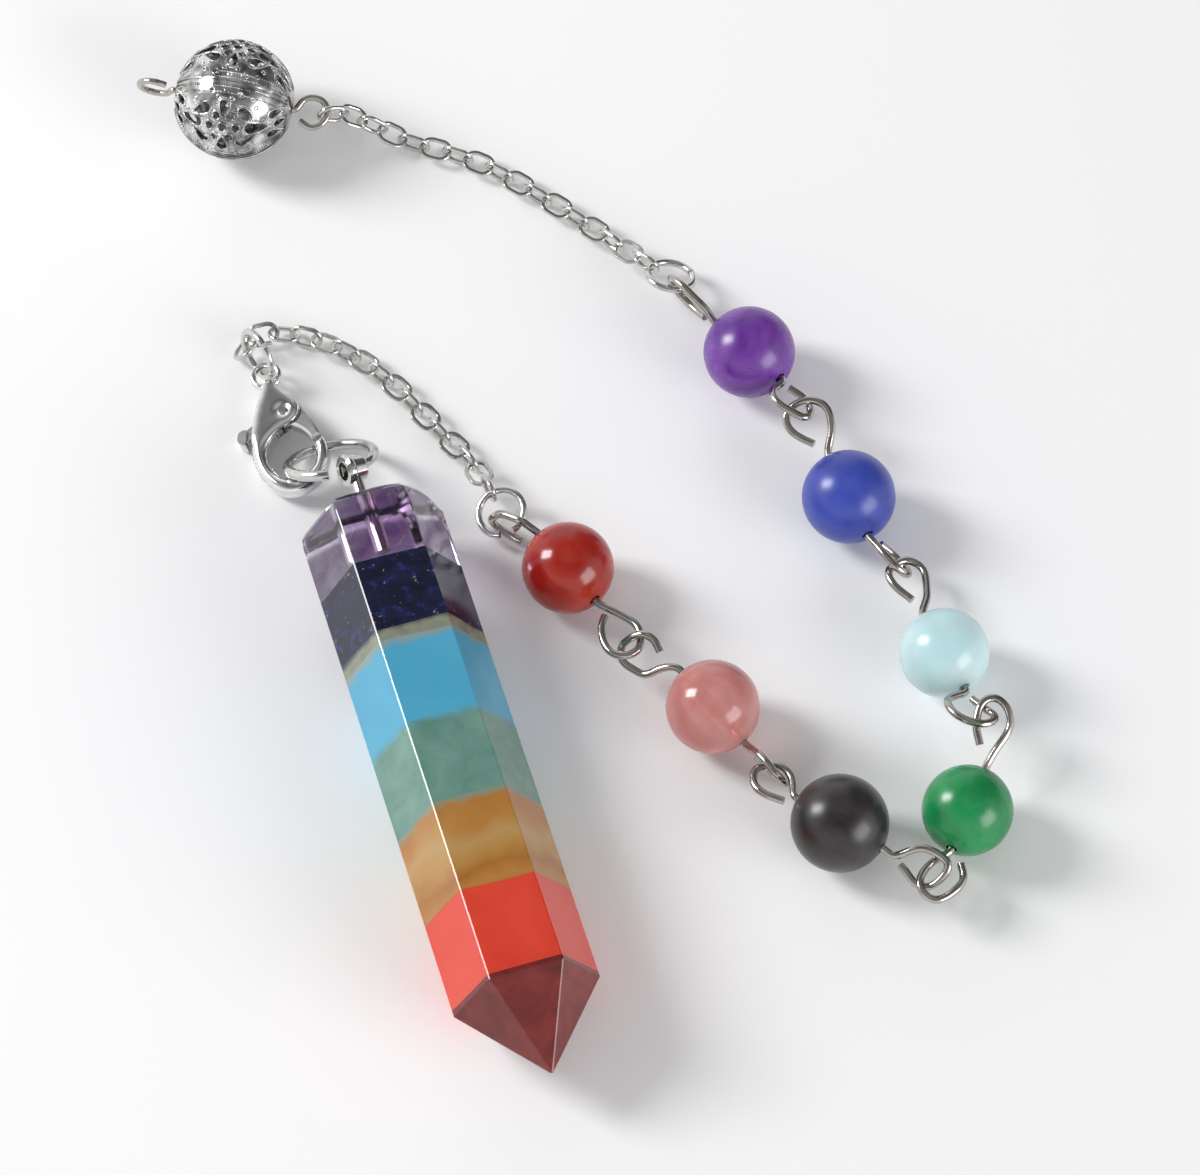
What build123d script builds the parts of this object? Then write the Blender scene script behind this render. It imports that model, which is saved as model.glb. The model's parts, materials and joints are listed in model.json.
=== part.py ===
from build123d import *
from build123d.topology import SkipClean
from math import cos, sin, radians
import os

# Pendulum pendant laid out on a table, +Z up, millimetres.
# +X runs to the right of the picture, +Y away from the viewer, z = 0 is the table top.

# Driving dimensions of the pointed stone
stone_length = 47.7          # from the drilled end to the shoulder of the point
point_length = 7.2
side_at_end = 6.28           # side of the six-sided section at the drilled end
side_at_shoulder = 6.37
edge_break = 0.14            # polished break on every long edge
end_bevel = 0.45
glue_line = 0.06             # gap between two stones
stone_yaw = 16.96            # turn of the stone's axis from the -Y direction
stone_end = (-19.985, 4.203)
band_cuts = (7.2, 13.8, 15.1, 22.8, 30.9, 39.3, 47.2)
band_names = ("amethyst_cap", "lapis_band", "pale_band", "turquoise_band",
              "aventurine_band", "honey_band", "carnelian_band", "jasper_tip")

# Driving dimensions of the metal parts
eye_wire = 0.70              # wire through each bead
bead_hole = 1.0
small_ring_wire = 0.65
link_length = 3.06           # outside
link_width = 2.3             # outside
link_wire = 0.42
link_flat = 0.36             # thickness left after flattening
pendant_ring_wire = 0.95
pendant_ring_radius = 3.818  # to the middle of the wire
ball_radius = 5.30
ball_wall = 0.45
ball_wire = 0.60
pin_diameter = 0.70
pin_clearance = 0.05         # between the pin and the lever's hole

os.makedirs("parts", exist_ok=True)


def direction(yaw, pitch=0.0):
    flat = cos(radians(pitch))
    return Vector(cos(radians(yaw)) * flat, sin(radians(yaw)) * flat, sin(radians(pitch)))


def section_at(start, tangent, diameter):
    return Plane(origin=start, z_dir=tangent) * Circle(diameter / 2)


def bent_wire(edges, diameter):
    path = Wire(edges)
    return sweep(section_at(path @ 0, path % 0, diameter), path=path)


def end_direction(points):
    return (points[-1] - points[-2]).normalized()


def loop_edge(points, outward):
    return Spline(*points, tangents=(outward, end_direction(points)), tangent_scalars=(1, 1))


def reversed_loop_edge(points, outward):
    return Spline(*reversed(points), tangents=(-end_direction(points), -outward),
                  tangent_scalars=(1, 1))


def open_ring(centre, normal, gap_toward, radius, wire, gap):
    """A round ring with one cut, the cut facing the given direction."""
    normal = Vector(*normal).normalized()
    toward = Vector(*gap_toward)
    toward = (toward - normal * toward.dot(normal)).normalized()
    plane = Plane(origin=centre, x_dir=toward, z_dir=normal)
    half_gap = gap / radius * 180 / 3.14159 / 2
    arc = CenterArc((0, 0, 0), radius, half_gap, 360 - 2 * half_gap)
    path = plane * arc
    return sweep(section_at(path @ 0, path % 0, wire), path=path)


# The pointed stone: one faceted body, cut into its bands
along = Vector(sin(radians(stone_yaw)), -cos(radians(stone_yaw)), 0)
across = Vector(cos(radians(stone_yaw)), sin(radians(stone_yaw)), 0)
end_floor = Vector(stone_end[0], stone_end[1], 0)


def stone_side(distance):
    return side_at_end + (side_at_shoulder - side_at_end) * distance / stone_length


def stone_section(distance, side, height, broken):
    """Twelve corners of the six-sided section; every corner is broken by a small flat."""
    centre = end_floor + along * distance + Vector(0, 0, height)
    corners = [across * (side * cos(radians(a))) + Vector(0, 0, side * sin(radians(a)))
               for a in range(0, 360, 60)]
    points = []
    for i, corner in enumerate(corners):
        before, after = corners[i - 1], corners[(i + 1) % 6]
        points.append(centre + corner + (before - corner) * (broken / side))
        points.append(centre + corner + (after - corner) * (broken / side))
    return points


def faceted(sections):
    faces = [Face(Wire.make_polygon(sections[0], close=True)),
             Face(Wire.make_polygon(sections[-1], close=True))]
    for low, high in zip(sections, sections[1:]):
        for i in range(len(low)):
            j = (i + 1) % len(low)
            faces.append(Face(Wire.make_polygon([low[i], low[j], high[j]], close=True)))
            faces.append(Face(Wire.make_polygon([low[i], high[j], high[i]], close=True)))
    return Solid(Shell(faces))


half_height = 0.8660254      # height of a hexagon's centre above its flat, for a side of one
root_side = stone_side(end_bevel)
stone_sections = [
    stone_section(0, side_at_end - end_bevel, side_at_end * half_height, edge_break),
    stone_section(end_bevel, root_side, root_side * half_height, edge_break),
    stone_section(stone_length, side_at_shoulder, side_at_shoulder * half_height, edge_break),
    stone_section(stone_length + point_length, 0.16, side_at_shoulder * half_height, 0.03),
]
whole_stone = faceted(stone_sections)

stone_frame = Plane(origin=end_floor, x_dir=across, z_dir=along)
axis_height = side_at_end * half_height
stone_axis = Plane(origin=end_floor + Vector(0, 0, axis_height), x_dir=across, z_dir=along)


def stone_band(start, end):
    slab = stone_frame * Pos(0, 0, start) * Box(
        40, 40, end - start, align=(Align.CENTER, Align.CENTER, Align.MIN))
    return whole_stone & slab


band_starts = (-1.0,) + tuple(cut + glue_line / 2 for cut in band_cuts)
band_ends = tuple(cut - glue_line / 2 for cut in band_cuts) + (stone_length + point_length + 1,)
pieces = {}
for name, start, end in zip(band_names, band_starts, band_ends):
    pieces[name] = stone_band(start, end)

# Bail: a peg glued in the stone, a stem, and a short flanged eye for the large ring
peg_diameter = 1.4
peg_depth = 5.0
peg_gap = 0.06
stem_diameter = 1.15
eye_distance = 4.687         # from the stone's end to the middle of the eye
eye_axis = Vector(-0.851, -0.429, 0.304).normalized()
peg_hole = stone_axis * Cylinder(
    peg_diameter / 2 + peg_gap, peg_depth + peg_gap, align=(Align.CENTER, Align.CENTER, Align.MIN))
pieces["amethyst_cap"] = pieces["amethyst_cap"] - peg_hole

eye_centre = end_floor + Vector(0, 0, axis_height) - along * eye_distance
eye_profile = Polyline((0.80, 0.95), (1.28, 0.95), (1.47, 0.75), (1.47, 0.45), (1.22, 0.20),
                       (1.10, -0.85), (1.00, -0.98), (0.82, -0.98), (0.78, -0.4), (0.78, 0.3),
                       close=True)
eye_body = revolve(Plane.XZ * make_face(eye_profile), Axis.Z)
eye_body = Plane(origin=eye_centre, z_dir=eye_axis) * eye_body
peg = stone_axis * Cylinder(peg_diameter / 2, peg_depth, align=(Align.CENTER, Align.CENTER, Align.MIN))
stem_length = eye_distance - 0.95
stem = stone_axis * Pos(0, 0, -stem_length) * Cylinder(
    stem_diameter / 2, stem_length + 0.5, align=(Align.CENTER, Align.CENTER, Align.MIN))
pieces["bail"] = eye_body + stem + peg

# The large open ring that joins the clasp and the bail
pieces["pendant_ring"] = open_ring(
    centre=(-23.375, 10.915, 3.087), normal=(-0.175, 0.654, 0.736), gap_toward=(0.15, -0.78, 0.60),
    radius=pendant_ring_radius, wire=pendant_ring_wire, gap=1.2)

# Lobster clasp, drawn in its own plane; x to the right, y toward its small eye
clasp_tilt = 11.4
clasp_yaw = 11.0
clasp_origin = (-26.94, 12.37, 1.642)
clasp_y = Vector(-sin(radians(clasp_yaw)), cos(radians(clasp_yaw)), 0)
clasp_flat = Vector(cos(radians(clasp_yaw)), sin(radians(clasp_yaw)), 0)
clasp_x = clasp_flat * cos(radians(clasp_tilt)) + Vector(0, 0, sin(radians(clasp_tilt)))
clasp_plane = Plane(origin=clasp_origin, x_dir=clasp_x, z_dir=clasp_x.cross(clasp_y))
claw_thickness = 2.0
slot_width = 1.30
lever_thickness = 1.10
pivot = (0.10, 3.95)
cheek_radius = 1.42
lever_gap = 0.10

outer_left = [(-1.10, 7.35), (-1.45, 6.45), (-2.05, 5.25), (-2.80, 3.20), (-3.22, 1.55), (-3.29, 0.0),
              (-2.95, -1.70), (-2.10, -3.20), (-1.10, -3.95), (0.24, -4.15), (1.45, -3.80),
              (2.55, -2.85), (3.15, -1.72), (3.32, -0.55), (3.06, 0.62)]
inner_left = [(2.22, 0.20), (2.28, -0.80), (1.95, -1.85), (1.15, -2.50), (0.07, -2.70), (-1.15, -2.30),
              (-1.80, -1.40), (-2.05, -0.20), (-1.75, 1.05), (-0.80, 2.05)]
cheek_low = (pivot[0] + cheek_radius * cos(radians(-78)), pivot[1] + cheek_radius * sin(radians(-78)))
cheek_mid = (pivot[0] + cheek_radius * cos(radians(-28)), pivot[1] + cheek_radius * sin(radians(-28)))
cheek_high = (pivot[0] + cheek_radius * cos(radians(24)), pivot[1] + cheek_radius * sin(radians(24)))
outer_edge = Spline(*outer_left)
tip_edge = Line(outer_left[-1], inner_left[0])
inner_edge = Spline(*inner_left, cheek_low)
cheek_edge = ThreePointArc(cheek_low, cheek_mid, cheek_high)
shoulder_edge = Spline(cheek_high, (0.62, 5.75), (-0.20, 7.00), (-0.35, 7.35))
neck_edge = Line((-0.35, 7.35), outer_left[0])
claw_face = make_face([outer_edge, tip_edge, inner_edge, cheek_edge, shoulder_edge, neck_edge])
claw = extrude(claw_face, claw_thickness / 2, both=True)
claw_round = 0.30
rims = [e for e in claw.edges() if abs(abs(e.center().Z) - claw_thickness / 2) < 0.01]
claw = fillet(rims, claw_round)

clasp_eye = Pos(-0.85, 8.15, 0) * revolve(
    Plane.XZ * Pos(1.16, 0) * Ellipse(0.27, 0.35), Axis.Z)
claw = claw + clasp_eye

# Room for the lever: a disc around the pivot, the swing of the gate and of the thumb arm
slot = Pos(*pivot) * Cylinder(cheek_radius + 0.02, slot_width)
gate_room = Pos(0, 0, 0) * extrude(
    make_face(Polyline((0.1, 3.95), (1.9, 5.0), (1.9, 2.0), (-0.9, 1.2), (-0.95, 3.2), close=True)),
    slot_width / 2, both=True)
thumb_room = extrude(
    make_face(Polyline((0.1, 4.9), (-1.5, 5.0), (-4.2, 4.35), (-4.6, 1.35), (-0.6, 2.75), close=True)),
    slot_width / 2, both=True)
claw = claw - slot - gate_room - thumb_room
claw = claw - Pos(*pivot) * Cylinder(pin_diameter / 2 + 0.01, 4)
pieces["clasp_body"] = clasp_plane * claw

# Lever: hub and thumb arm inside the slot, thicker gate and thumb pad outside it
gate_start_low = (pivot[0] + 1.54 * cos(radians(-74)), pivot[1] + 1.54 * sin(radians(-74)))
gate_start_mid = (pivot[0] + 1.54 * cos(radians(-30)), pivot[1] + 1.54 * sin(radians(-30)))
gate_start_high = (pivot[0] + 1.54 * cos(radians(13)), pivot[1] + 1.54 * sin(radians(13)))
gate_face = make_face([
    ThreePointArc(gate_start_high, gate_start_mid, gate_start_low),
    Spline(gate_start_low, (1.15, 2.02), (1.75, 1.30), (2.12, 0.44)),
    Line((2.12, 0.44), (2.94, 0.83)),
    Spline((2.94, 0.83), (2.72, 1.60), (2.20, 2.80), gate_start_high)])
gate = extrude(gate_face, 0.85, both=True)
gate_edges = [e for e in gate.edges() if abs(abs(e.center().Z) - 0.85) < 0.01]
gate = chamfer(gate_edges, 0.22)
gate_root = extrude(make_face(Polyline((0.1, 3.95), (1.35, 4.1), (2.1, 2.6), (1.3, 1.9), (0.5, 2.5),
                                       close=True)), lever_thickness / 2, both=True)
hub = Pos(*pivot) * Cylinder(1.05, lever_thickness)
thumb_arm = extrude(make_face(Polyline((-0.1, 4.7), (-3.50, 3.00), (-3.62, 1.95), (-0.2, 3.2),
                                       close=True)), lever_thickness / 2, both=True)
thumb_pad = extrude(make_face(Polyline((-3.30, 3.06), (-4.10, 2.96), (-4.38, 2.05), (-3.74, 1.42),
                                       close=True)), 0.80, both=True)
thumb_pad = chamfer(thumb_pad.edges().filter_by(Axis.Z), 0.18)
lever = gate + gate_root + hub + thumb_arm + thumb_pad
lever = lever - Pos(*pivot) * Cylinder(pin_diameter / 2 + pin_clearance, 4)
pieces["clasp_lever"] = clasp_plane * lever
pieces["clasp_pin"] = clasp_plane * Pos(*pivot) * Cylinder(pin_diameter / 2, claw_thickness)

# Small open rings
pieces["clasp_ring"] = open_ring(
    centre=(-30.02, 21.80, 2.61), normal=(0.82, 0.551, -0.142), gap_toward=(0.3, -0.2, 1.0),
    radius=2.17, wire=small_ring_wire, gap=0.35)
pieces["lower_ring"] = open_ring(
    centre=(-8.58, 6.22, 2.20), normal=(-0.281, -0.189, 0.941), gap_toward=(0.22, -1.0, 0.0),
    radius=2.05, wire=small_ring_wire, gap=1.3)
pieces["upper_ring"] = open_ring(
    centre=(6.24, 29.80, 2.56), normal=(0.158, 0.403, 0.901), gap_toward=(1.0, 0.45, 0.0),
    radius=2.03, wire=small_ring_wire, gap=0.30)

# Beads and the wires through them.
# Loop points are measured from the bead's centre, in order from the bead outward.
# bead, centre x, y, z, diameter, yaw and pitch of the drilled hole
BEADS = (
    ("purple", 13.06, 21.20, 4.02, 8.04, -48, 8),
    ("blue", 21.52, 6.73, 4.07, 8.14, -67, 0),
    ("aqua", 29.46, -8.40, 3.87, 7.74, -65, 5),
    ("green", 31.06, -23.39, 3.89, 7.78, -112, 0),
    ("black", 20.24, -24.75, 4.19, 8.38, -32, -3),
    ("pink", 9.60, -13.65, 4.04, 8.08, -49, -10),
    ("red", -2.76, -0.20, 3.98, 7.96, -54, 2),
)
LOOPS = {
    "purple": (
        [(-3.70, 4.16, 0.11), (-4.88, 5.17, 0.79), (-5.93, 6.31, 0.93), (-6.71, 7.28, 0.32),
         (-6.85, 7.59, -0.47), (-6.58, 7.44, -1.28), (-5.69, 6.58, -1.92), (-4.66, 5.42, -1.9),
         (-3.79, 4.36, -1.41)],
        [(2.06, -4.64, 1.44), (2.63, -6.35, 1.81), (3.44, -6.79, 1.61), (4.75, -7.24, 1.2),
         (5.25, -6.37, 0.66), (4.59, -4.73, 0.36), (3.41, -3.96, 0.6)]),
    "blue": (
        [(-1.47, 5.71, 0.73), (-1.46, 6.79, 1.12), (-1.93, 8.08, 1.47), (-3.22, 8.81, 1.42),
         (-4.39, 8.65, 1.07), (-4.91, 8.35, 0.83), (-5.31, 7.73, 0.51), (-5.21, 6.93, 0.24),
         (-4.52, 6.1, 0.11), (-2.94, 5.14, 0.16)],
        [(2.38, -4.92, 0.09), (3.15, -6.04, 0.18), (3.99, -6.83, -0.14), (4.77, -7.04, -0.96),
         (5.05, -6.7, -1.65), (4.99, -6.07, -2.19), (4.39, -5.11, -2.34), (3.53, -4.41, -1.89),
         (2.7, -4.08, -1.13)]),
    "aqua": (
        [(-1.37, 5.72, -0.75), (-1.34, 6.68, -0.92), (-1.87, 9.1, -1.24), (-2.96, 9.59, -1.14),
         (-3.96, 9.12, -0.91), (-4.59, 8.2, -0.65), (-4.25, 7.0, -0.51), (-2.64, 5.39, -0.49)],
        [(0.2, -5.17, 1.48), (0.42, -6.66, 2.16), (1.83, -7.71, 2.35), (3.48, -7.71, 1.97),
         (4.05, -6.87, 1.43), (3.25, -5.93, 1.15), (2.19, -4.86, 0.87)]),
    "green": (
        [(2.73, 5.79, 0.58), (3.69, 7.38, 1.01), (3.39, 9.05, 1.64), (2.36, 9.64, 1.99),
         (1.32, 9.09, 1.94), (0.99, 8.3, 1.7), (0.88, 7.05, 1.28), (1.16, 5.78, 0.79)],
        [(-2.49, -4.52, 0.09), (-3.86, -5.88, 0.21), (-4.16, -7.25, 0.21), (-3.11, -8.36, 0.06),
         (-1.49, -7.68, -0.1), (-0.5, -6.16, -0.18), (-0.67, -4.97, -0.12)]),
    "black": (
        [(-3.9, 3.45, 0.05), (-4.21, 4.73, -0.14), (-5.25, 5.54, -0.27), (-6.29, 5.53, -0.42),
         (-7.0, 5.19, -0.24), (-7.28, 4.27, -0.13), (-6.97, 3.29, 0.04), (-5.97, 2.5, 0.18),
         (-4.71, 1.97, 0.25)],
        [(4.43, -2.84, -0.28), (5.65, -2.74, 0.17), (6.97, -2.67, 0.64), (8.01, -3.14, 0.72),
         (9.0, -4.14, 0.48), (8.42, -5.08, -0.23), (7.35, -5.53, -0.84), (6.31, -5.17, -0.97),
         (5.52, -4.23, -0.7), (5.02, -3.62, -0.62)]),
    "pink": (
        [(-4.59, 3.51, 0.13), (-5.75, 3.43, -0.62), (-6.75, 3.96, -0.72), (-7.68, 4.76, -0.53),
         (-7.74, 5.67, 0.06), (-7.13, 6.07, 0.79), (-6.0, 6.13, 1.57), (-5.01, 5.6, 1.53),
         (-4.48, 4.71, 1.09)],
        [(3.42, -4.07, -0.1), (4.22, -5.18, 0.52), (4.95, -6.18, 0.5), (5.68, -6.81, -0.12),
         (6.07, -6.81, -0.87), (6.04, -6.48, -1.63), (5.43, -5.59, -2.25), (4.6, -4.68, -2.14),
         (3.73, -3.98, -1.51)]),
    "red": (
        [(-3.20, 3.92, 0.02), (-3.85, 4.32, 0.30), (-4.75, 4.88, 0.12), (-5.8, 5.55, -0.52),
         (-6.42, 5.92, -1.65), (-6.61, 6.01, -2.62), (-6.26, 5.76, -3.07), (-5.14, 5.0, -3.12),
         (-4.1, 4.3, -3.1)],
        [(3.59, -4.15, 0.24), (4.96, -5.02, 0.37), (5.9, -5.88, 0.5), (6.23, -6.9, 0.57),
         (5.99, -8.22, 0.55), (5.18, -8.72, 0.55), (3.84, -8.48, 0.41), (3.04, -7.2, 0.25),
         (2.9, -5.85, 0.17), (3.19, -4.75, 0.15)]),
}

for name, x, y, z, diameter, yaw, pitch in BEADS:
    centre = Vector(x, y, z)
    hole_axis = direction(yaw, pitch)
    reach = diameter / 2 + 0.05
    hole = Plane(origin=centre, z_dir=hole_axis) * Cylinder(bead_hole / 2, diameter + 2)
    pieces[name + "_bead"] = Pos(*centre) * Sphere(diameter / 2) - hole
    first, last = (
        [centre + hole_axis * reach * way] + [centre + Vector(*p) for p in points]
        for way, points in zip((-1, 1), LOOPS[name]))
    edges = [reversed_loop_edge(first, -hole_axis), Line(first[0], last[0]), loop_edge(last, hole_axis)]
    pieces[name + "_wire"] = bent_wire(edges, eye_wire)

# Chains of flattened oval links
end_radius = (link_width - link_wire) / 2
straight = (link_length - link_wire) / 2 - end_radius
link_path = Wire([
    Line((-straight, end_radius), (straight, end_radius)),
    ThreePointArc((straight, end_radius), (straight + end_radius, 0), (straight, -end_radius)),
    Line((straight, -end_radius), (-straight, -end_radius)),
    ThreePointArc((-straight, -end_radius), (-straight - end_radius, 0), (-straight, end_radius))])
link = sweep(section_at(link_path @ 0, link_path % 0, link_wire), path=link_path)
link = link & Box(10, 10, link_flat)


def chain(path_points, count, first_roll, last_roll):
    """Links spaced evenly along the path, each turned a quarter from the one before.

    The whole chain twists from the first roll to the last, mostly near its far end.
    """
    path = Spline(*path_points)
    links = []
    for i in range(count):
        t = i / (count - 1)
        centre = path @ t
        before = path @ max(t - 0.5 / count, 0)
        after = path @ min(t + 0.5 / count, 1)
        run = (after - before).normalized()
        side = Vector(0, 0, 1).cross(run).normalized()
        plane = Plane(origin=centre, x_dir=run, z_dir=run.cross(side))
        roll = first_roll + (last_roll - first_roll) * t ** 3 + 90 * (i % 2)
        links.append(plane * Rot(roll, 0, 0) * link)
    return Compound(links)


upper_path = [(-23.74, 44.94, 5.20), (-22.05, 45.30, 4.25), (-20.35, 45.20, 3.0), (-18.14, 44.70, 1.75),
              (-16.27, 44.20, 1.25), (-14.30, 43.60, 1.2), (-10.27, 41.98, 1.2), (-6.59, 39.68, 1.2),
              (-2.85, 37.09, 1.2), (0.35, 34.60, 1.35), (2.40, 32.70, 1.95), (4.05, 31.30, 2.4)]
lower_path = [(-9.70, 8.63, 2.33), (-10.62, 10.50, 1.75), (-11.81, 12.41, 1.3), (-13.50, 14.20, 1.2),
              (-14.95, 15.94, 1.2), (-16.40, 17.58, 1.2), (-17.78, 19.15, 1.2), (-19.38, 20.65, 1.2),
              (-20.96, 21.93, 1.2), (-22.60, 22.98, 1.2), (-24.48, 23.85, 1.2), (-26.51, 24.45, 1.25),
              (-28.20, 24.60, 1.25), (-29.65, 24.47, 1.45), (-30.74, 24.01, 1.2), (-31.12, 23.36, 1.15)]
pieces["chain_upper"] = chain(upper_path, 17, 90, 90)
pieces["chain_lower"] = chain(lower_path, 16, 90, 133)

# Pierced hollow ball: four quarters, each with a rosette of rings and drops
ball_centre = Vector(-32.56, 46.28, 5.45)
ball_yaw = -10.7
ball_roll = 15.0
seam_offset = 0.21           # each seam is two raised lines, one each side of the joint
seam_width = 0.17
seam_height = 0.13
seam_reach = 5.05            # each line stops short of the poles


def drop_shape(length, width):
    """A drop with its point toward +X."""
    r = width / 2
    return make_face([
        ThreePointArc((0, r), (-r, 0), (0, -r)),
        Spline((0, -r), (length * 0.45, -r * 0.72), (length - r, 0),
               tangents=((1, 0), (1, 0.35))),
        Spline((length - r, 0), (length * 0.45, r * 0.72), (0, r),
               tangents=((-1, 0.35), (-1, 0)))])


# opening, distance toward the pole, distance round the ball, size, length, turn
OPENINGS = (
    ("round", 0.0, 0.0, 0.80, 0, 0),
    ("round", 1.20, 0.0, 0.72, 0, 0), ("round", -1.20, 0.0, 0.72, 0, 0),
    ("round", 0.60, 1.05, 0.72, 0, 0), ("round", -0.60, 1.05, 0.72, 0, 0),
    ("round", 0.60, -1.05, 0.72, 0, 0), ("round", -0.60, -1.05, 0.72, 0, 0),
    ("drop", 2.55, 0.0, 1.15, 2.3, 0), ("drop", -2.55, 0.0, 1.15, 2.3, 180),
    ("drop", 1.75, 1.55, 1.00, 2.0, 30), ("drop", 1.75, -1.55, 1.00, 2.0, -30),
    ("drop", -1.75, 1.55, 1.00, 2.0, 150), ("drop", -1.75, -1.55, 1.00, 2.0, -150),
    ("drop", 0.0, 2.10, 0.95, 1.6, 90), ("drop", 0.0, -2.10, 0.95, 1.6, -90),
    ("drop", 5.20, 0.0, 0.60, 1.5, 0), ("drop", -5.20, 0.0, 0.60, 1.5, 180),
    ("drop", 4.55, 1.45, 0.70, 1.9, -18), ("drop", 4.55, -1.45, 0.70, 1.9, 18),
    ("drop", -4.55, 1.45, 0.70, 1.9, -162), ("drop", -4.55, -1.45, 0.70, 1.9, 162),
    ("round", 1.35, 3.25, 0.45, 0, 0), ("round", 1.35, -3.25, 0.45, 0, 0),
    ("round", -1.35, 3.25, 0.45, 0, 0), ("round", -1.35, -3.25, 0.45, 0, 0),
)
per_mm = 180 / 3.14159 / ball_radius
cutters = []
for quarter in range(4):
    for shape, toward_pole, round_ball, size, length, turn in OPENINGS:
        flat = Circle(size / 2) if shape == "round" else drop_shape(length, size)
        cutter = extrude(Rot(0, 0, turn) * flat, 2.2)
        angle = 45 + 90 * quarter + round_ball * per_mm
        cutters.append(Rot(angle, 0, 0) * Rot(0, toward_pole * per_mm, 0)
                       * Pos(0, 0, ball_radius - 1.2) * cutter)
with SkipClean():            # the many curved cuts are kept as they are, edges are not merged
    poles_on_axis = Rot(20, 0, 0) * Rot(0, 90, 0)
    ball = poles_on_axis * (Sphere(ball_radius) - Sphere(ball_radius - ball_wall))
    ball = ball - Rot(0, 90, 0) * Cylinder(0.45, 14)
    ball = ball - cutters
    rib_shell = poles_on_axis * (
        Sphere(ball_radius + seam_height) - Sphere(ball_radius - ball_wall / 2))
    for quarter in range(4):
        for offset in (-seam_offset, seam_offset):
            slab = Pos(0, 0, offset) * Box(
                seam_reach * 2, ball_radius + 1, seam_width, align=(Align.CENTER, Align.MIN, Align.CENTER))
            ball = ball + Rot(90 * quarter, 0, 0) * (slab & rib_shell)
ball_frame = Plane(origin=ball_centre, x_dir=direction(ball_yaw), z_dir=(0, 0, 1))
pieces["filigree_ball"] = ball_frame * Rot(ball_roll, 0, 0) * ball

# Wire through the ball: one loop at the chain, one at the free end
ball_axis = direction(ball_yaw)
chain_loop_up = Vector(0.03, -0.30, 0.95)
free_loop_up = Vector(0.0, -0.21, 0.98)


def round_loop(start, outward, up, radius):
    """A wire leaving the start, round a circle whose plane holds both directions."""
    up = (up - outward * up.dot(outward)).normalized()
    middle = start + outward * (radius + 0.35)
    return [start] + [
        middle - outward * (radius * cos(radians(a))) - up * (radius * sin(radians(a)))
        for a in (38, 84, 130, 176, 222, 268, 316)]


in_plane = ball_axis.cross(chain_loop_up).normalized()
right_start = ball_centre + ball_axis * (ball_radius + 0.1)
left_start = ball_centre - ball_axis * (ball_radius + 0.1)
right_loop = round_loop(right_start, ball_axis, in_plane, 1.36)
left_loop = round_loop(left_start, -ball_axis, free_loop_up, 1.42)
pieces["ball_wire"] = bent_wire(
    [reversed_loop_edge(left_loop, -ball_axis), Line(left_start, right_start),
     loop_edge(right_loop, ball_axis)], ball_wire)

# Centre the whole layout on the origin and write one file for each piece
box = Compound(list(pieces.values())).bounding_box()
shift = Pos(-(box.min.X + box.max.X) / 2, -(box.min.Y + box.max.Y) / 2, -box.min.Z)
for name, piece in pieces.items():
    export_step(shift * piece, "parts/" + name + ".step")
    print(name, round(piece.volume, 3))
print("moved by", shift.position, "size", box.size)
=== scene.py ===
import json
from math import atan2, cos, sin, sqrt, pi, radians

import bmesh
import bpy
from mathutils import Matrix, Vector, kdtree


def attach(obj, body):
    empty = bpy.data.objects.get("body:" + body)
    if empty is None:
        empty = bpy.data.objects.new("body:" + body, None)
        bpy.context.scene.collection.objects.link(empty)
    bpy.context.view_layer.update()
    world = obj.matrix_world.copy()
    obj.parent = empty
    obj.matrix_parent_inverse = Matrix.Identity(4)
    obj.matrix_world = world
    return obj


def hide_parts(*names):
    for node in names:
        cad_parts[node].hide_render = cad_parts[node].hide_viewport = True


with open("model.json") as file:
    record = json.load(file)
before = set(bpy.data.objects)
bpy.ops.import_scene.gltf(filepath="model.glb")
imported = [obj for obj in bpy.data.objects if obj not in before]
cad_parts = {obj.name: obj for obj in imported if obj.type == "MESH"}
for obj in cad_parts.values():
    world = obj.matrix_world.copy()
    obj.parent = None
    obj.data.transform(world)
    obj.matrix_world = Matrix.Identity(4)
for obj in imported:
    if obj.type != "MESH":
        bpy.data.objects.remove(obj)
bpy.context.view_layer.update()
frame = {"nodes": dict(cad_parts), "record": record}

mm = 0.001
nodes = frame["nodes"]
print("frame loaded:", len(nodes), "nodes")


# Short ways to build a material's node tree
def newMaterial(name):
    material = bpy.data.materials.new(name)
    material.use_nodes = True
    tree = material.node_tree
    tree.nodes.clear()
    output = tree.nodes.new("ShaderNodeOutputMaterial")
    shader = tree.nodes.new("ShaderNodeBsdfPrincipled")
    tree.links.new(shader.outputs["BSDF"], output.inputs["Surface"])
    return material, tree, shader


def addNode(tree, kind, values=None, **settings):
    node = tree.nodes.new(kind)
    for key, value in settings.items():
        setattr(node, key, value)
    for key, value in (values or {}).items():
        node.inputs[key].default_value = value
    return node


def link(tree, fromSocket, toSocket):
    tree.links.new(fromSocket, toSocket)


def colour(r, g, b):
    return (r, g, b, 1.0)


def setShader(shader, **values):
    for key, value in values.items():
        shader.inputs[key.replace("_", " ")].default_value = value


def rampNode(tree, stops, interpolation="LINEAR"):
    ramp = addNode(tree, "ShaderNodeValToRGB")
    ramp.color_ramp.interpolation = interpolation
    elements = ramp.color_ramp.elements
    while len(elements) > len(stops):
        elements.remove(elements[-1])
    while len(elements) < len(stops):
        elements.new(0.5)
    for element, (position, tone) in zip(elements, stops):
        element.position = position
        element.color = tone if len(tone) == 4 else (*tone, 1.0)
    return ramp


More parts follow.
